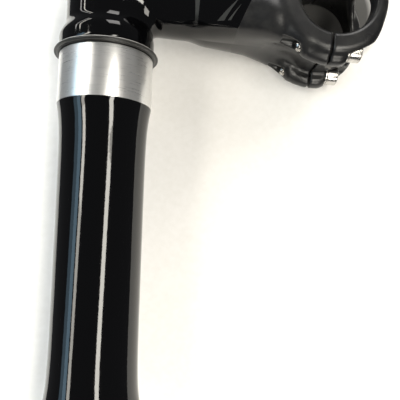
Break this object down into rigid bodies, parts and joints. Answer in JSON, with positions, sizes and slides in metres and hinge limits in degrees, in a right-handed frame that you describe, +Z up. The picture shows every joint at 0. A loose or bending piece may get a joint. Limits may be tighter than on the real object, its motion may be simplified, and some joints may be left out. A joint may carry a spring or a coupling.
{
  "type": "bicycle handlebar stem",
  "caption": "Bicycle handlebar stem with a split bar clamp, bolted faceplate and an integral steerer tube with bare bearing seats.",
  "frame": {"origin": "where the steerer axis meets the lower face of the stem head", "axes": "+Z up the steerer axis, +X forward to the handlebar, +Y to the rider's left along the handlebar"},
  "size_m": [0.1388, 0.044, 0.2278],
  "materials": {
    "body_paint": "gloss black over aluminium, satin towards the bar clamp",
    "steerer_paint": "gloss black tube with a bare turned band at the upper bearing seat",
    "seal": "dark rubber with a worn lip",
    "faceplate": "satin black",
    "washer": "plain steel",
    "bolt": "bright stainless steel",
    "cap": "satin black moulded plastic",
    "ring": "black rubber",
    "plug": "turned and clear anodised",
    "plug_washer": "plain steel"
  },
  "bodies": {
    "stem": {"stem_body": "body_paint", "steerer_tube": "steerer_paint", "dust_seal": "seal"},
    "front_clamp": {"faceplate": "faceplate", "bolt_washer_upper_left": "washer", "bolt_washer_upper_right": "washer", "bolt_washer_lower_left": "washer", "bolt_washer_lower_right": "washer"},
    "bolt_upper_left": {"faceplate_bolt_upper_left": "bolt"},
    "bolt_upper_right": {"faceplate_bolt_upper_right": "bolt"},
    "bolt_lower_left": {"faceplate_bolt_lower_left": "bolt"},
    "bolt_lower_right": {"faceplate_bolt_lower_right": "bolt"},
    "cap": {"top_cap": "cap", "top_cap_ring": "ring"},
    "preload_washer": {"lower_washer": "plug_washer"},
    "preload_plug": {"lower_plug": "plug"}
  },
  "joints": [
    {"name": "faceplate_release", "type": "slide", "parent": "stem", "child": "front_clamp", "axis": [0.9976, 0, -0.0698], "range_m": [0, 0.016]},
    {"name": "bolt_turn_upper_left", "type": "hinge", "parent": "front_clamp", "child": "bolt_upper_left", "pos_m": [0.09696, 0.0145, 0.04325], "axis": [0.9976, 0, -0.0698], "range_deg": [0, 7210]},
    {"name": "bolt_turn_upper_right", "type": "hinge", "parent": "front_clamp", "child": "bolt_upper_right", "pos_m": [0.09696, -0.0145, 0.04325], "axis": [0.9976, 0, -0.0698], "range_deg": [0, 7210]},
    {"name": "bolt_turn_lower_left", "type": "hinge", "parent": "front_clamp", "child": "bolt_lower_left", "pos_m": [0.09404, 0.0145, 0.00155], "axis": [0.9976, 0, -0.0698], "range_deg": [0, 7210]},
    {"name": "bolt_turn_lower_right", "type": "hinge", "parent": "front_clamp", "child": "bolt_lower_right", "pos_m": [0.09404, -0.0145, 0.00155], "axis": [0.9976, 0, -0.0698], "range_deg": [0, 7210]},
    {"name": "cap_pull", "type": "slide", "parent": "stem", "child": "cap", "axis": [0, 0, 1], "range_m": [0, 0.014]},
    {"name": "plug_release", "type": "slide", "parent": "stem", "child": "preload_washer", "axis": [0, 0, -1], "range_m": [0, 0.016]},
    {"name": "plug_turn", "type": "hinge", "parent": "preload_washer", "child": "preload_plug", "pos_m": [0, 0, -0.1776], "axis": [0, 0, -1], "range_deg": [0, 5770]}
  ],
  "couplings": [
    {"joint": "bolt_turn_upper_left", "follows": "faceplate_release", "rad_per_m": 7854},
    {"joint": "bolt_turn_upper_right", "follows": "faceplate_release", "rad_per_m": 7854},
    {"joint": "bolt_turn_lower_left", "follows": "faceplate_release", "rad_per_m": 7854},
    {"joint": "bolt_turn_lower_right", "follows": "faceplate_release", "rad_per_m": 7854},
    {"joint": "plug_turn", "follows": "plug_release", "rad_per_m": 6283.2}
  ]
}
